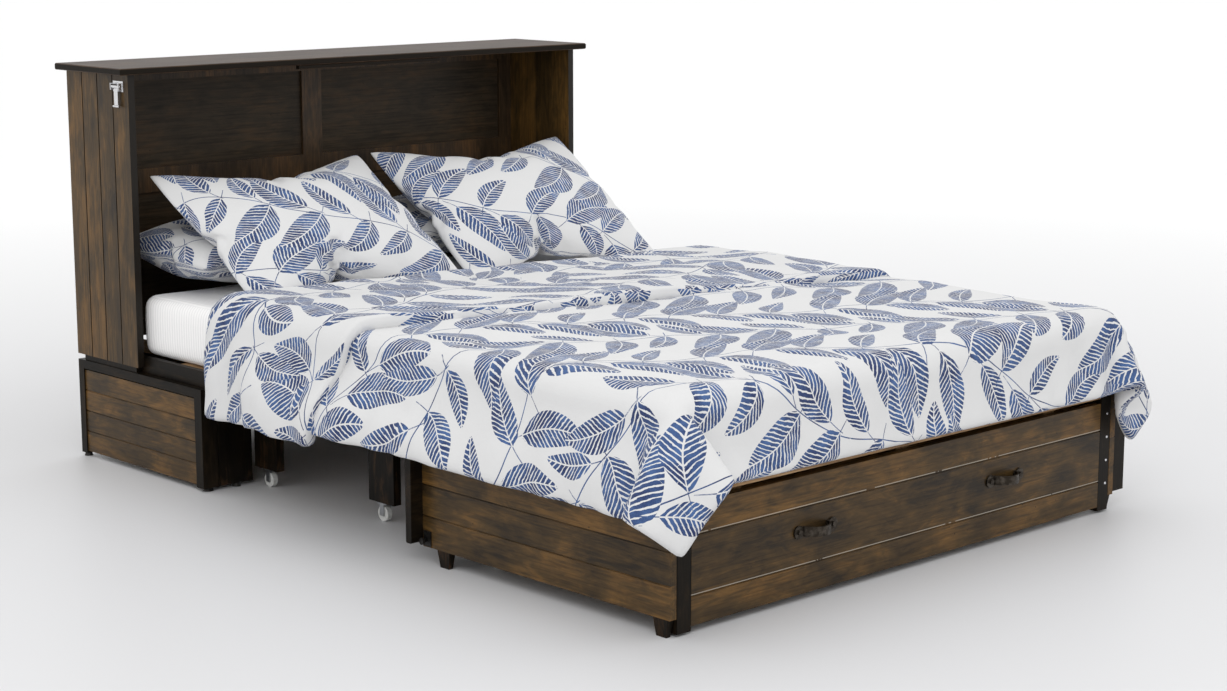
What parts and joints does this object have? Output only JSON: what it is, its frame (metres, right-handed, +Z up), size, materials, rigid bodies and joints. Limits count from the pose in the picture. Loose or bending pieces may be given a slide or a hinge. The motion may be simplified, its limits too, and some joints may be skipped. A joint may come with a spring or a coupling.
{
  "type": "cabinet bed",
  "caption": "Cabinet wall bed shown open: planked headboard cabinet on a base, slatted pull-out platform, tilting foot tray over a wide drawer, with mattress, pillows and printed duvet.",
  "frame": {"origin": "centre of the bounding box, on the floor", "axes": "+Z up, +Y from the foot towards the wall at the head, +X to the right seen from the foot"},
  "size_m": [1.784, 2.385, 1.09],
  "materials": {
    "stained_wood": "satin stained hardwood planks",
    "dark_wood": "satin near-black stain",
    "back_wood": "satin dark stained panel",
    "top_wood": "satin stained board",
    "platform_wood": "unfinished slats",
    "handle_metal": "dark bronze, satin",
    "latch_chrome": "polished",
    "bare_steel": "zinc plated",
    "black_metal": "black, satin",
    "caster_plastic": "pale translucent plastic",
    "mattress_cover": "ribbed white sheet",
    "printed_cotton": "white cotton with a blue leaf print"
  },
  "bodies": {
    "cabinet": {"top_board": "top_wood", "upper_side_left": "stained_wood", "upper_side_right": "stained_wood", "back_frame": "back_wood", "back_panels": "back_wood", "top_pull_strip": "top_wood", "latch_plates": "latch_chrome", "upper_spacers": "stained_wood", "base_posts": "dark_wood", "base_side_left": "stained_wood", "base_side_right": "stained_wood", "base_top_rails": "dark_wood", "base_pedestals": "stained_wood", "base_back": "stained_wood", "base_glides": "black_metal", "head_deck_rails": "stained_wood", "head_crossbars": "platform_wood", "head_slats": "platform_wood"},
    "latch_left": {"latch_arm_left": "latch_chrome"},
    "latch_right": {"latch_arm_right": "latch_chrome"},
    "stage_a": {"stage_a_slats": "platform_wood", "stage_a_crossbar": "platform_wood", "stage_a_legs": "dark_wood", "stage_a_forks": "bare_steel"},
    "stage_a_casters": {"stage_a_wheels": "caster_plastic"},
    "stage_b": {"stage_b_slats": "platform_wood", "stage_b_crossbar": "platform_wood", "stage_b_legs": "stained_wood", "stage_b_forks": "bare_steel"},
    "stage_b_casters": {"stage_b_wheels": "caster_plastic"},
    "foot_unit": {"foot_posts": "dark_wood", "tray_pivot_pins": "bare_steel", "carcass_sides": "platform_wood", "carcass_rails": "platform_wood", "carcass_back": "platform_wood", "drawer_runners_outer": "bare_steel", "foot_forks": "bare_steel"},
    "foot_casters_rear": {"foot_wheels_rear": "caster_plastic"},
    "foot_casters_front": {"foot_wheels_front": "caster_plastic"},
    "drawer": {"drawer_front": "stained_wood", "drawer_sides": "platform_wood", "drawer_back": "platform_wood", "drawer_bottom": "platform_wood", "drawer_runners_inner": "bare_steel", "handle_left": "handle_metal", "handle_right": "handle_metal"},
    "tray": {"tray_side_left": "stained_wood", "tray_side_right": "stained_wood", "tray_stile_right": "dark_wood", "tray_end_board": "dark_wood", "tray_deck": "platform_wood", "tray_battens": "platform_wood", "tray_feet": "dark_wood", "tray_catches": "black_metal"},
    "bedding": {"mattress": "mattress_cover", "duvet": "printed_cotton", "sham_left": "printed_cotton", "sham_right": "printed_cotton", "pillow_left": "printed_cotton", "pillow_right": "printed_cotton"}
  },
  "joints": [
    {"name": "roll", "type": "slide", "parent": "cabinet", "child": "foot_unit", "axis": [0, 1, 0], "range_m": [0, 0.584]},
    {"name": "stage_a_slide", "type": "slide", "parent": "cabinet", "child": "stage_a", "axis": [0, 1, 0], "range_m": [0, 0.205]},
    {"name": "stage_b_slide", "type": "slide", "parent": "cabinet", "child": "stage_b", "axis": [0, 1, 0], "range_m": [0, 0.584]},
    {"name": "tray_tilt", "type": "hinge", "parent": "foot_unit", "child": "tray", "pos_m": [0, -1.1275, 0.3], "axis": [1, 0, 0], "range_deg": [0, 90]},
    {"name": "bedding_lift", "type": "slide", "parent": "cabinet", "child": "bedding", "axis": [0, -0.7071, 0.7071], "range_m": [0, 1.985]},
    {"name": "drawer_pull", "type": "slide", "parent": "foot_unit", "child": "drawer", "axis": [0, -1, 0], "range_m": [0, 0.45]},
    {"name": "latch_left_swing", "type": "hinge", "parent": "cabinet", "child": "latch_left", "pos_m": [-0.799, 0.9305, 1.04], "axis": [0, 1, 0], "range_deg": [0, 110]},
    {"name": "latch_right_swing", "type": "hinge", "parent": "cabinet", "child": "latch_right", "pos_m": [0.799, 0.9305, 1.04], "axis": [0, -1, 0], "range_deg": [0, 110]},
    {"name": "stage_a_caster_spin", "type": "hinge", "parent": "stage_a", "child": "stage_a_casters", "pos_m": [0, 0.5305, 0.02], "axis": [1, 0, 0], "continuous": true},
    {"name": "stage_b_caster_spin", "type": "hinge", "parent": "stage_b", "child": "stage_b_casters", "pos_m": [0, 0.0445, 0.02], "axis": [1, 0, 0], "continuous": true},
    {"name": "foot_rear_caster_spin", "type": "hinge", "parent": "foot_unit", "child": "foot_casters_rear", "pos_m": [0, -0.4675, 0.02], "axis": [1, 0, 0], "continuous": true},
    {"name": "foot_front_caster_spin", "type": "hinge", "parent": "foot_unit", "child": "foot_casters_front", "pos_m": [0, -1.0375, 0.02], "axis": [1, 0, 0], "continuous": true}
  ],
  "couplings": [
    {"joint": "stage_a_slide", "follows": "roll", "ratio": 0.35},
    {"joint": "stage_b_slide", "follows": "roll", "ratio": 1},
    {"joint": "bedding_lift", "follows": "tray_tilt", "m_per_rad": 1.26}
  ]
}
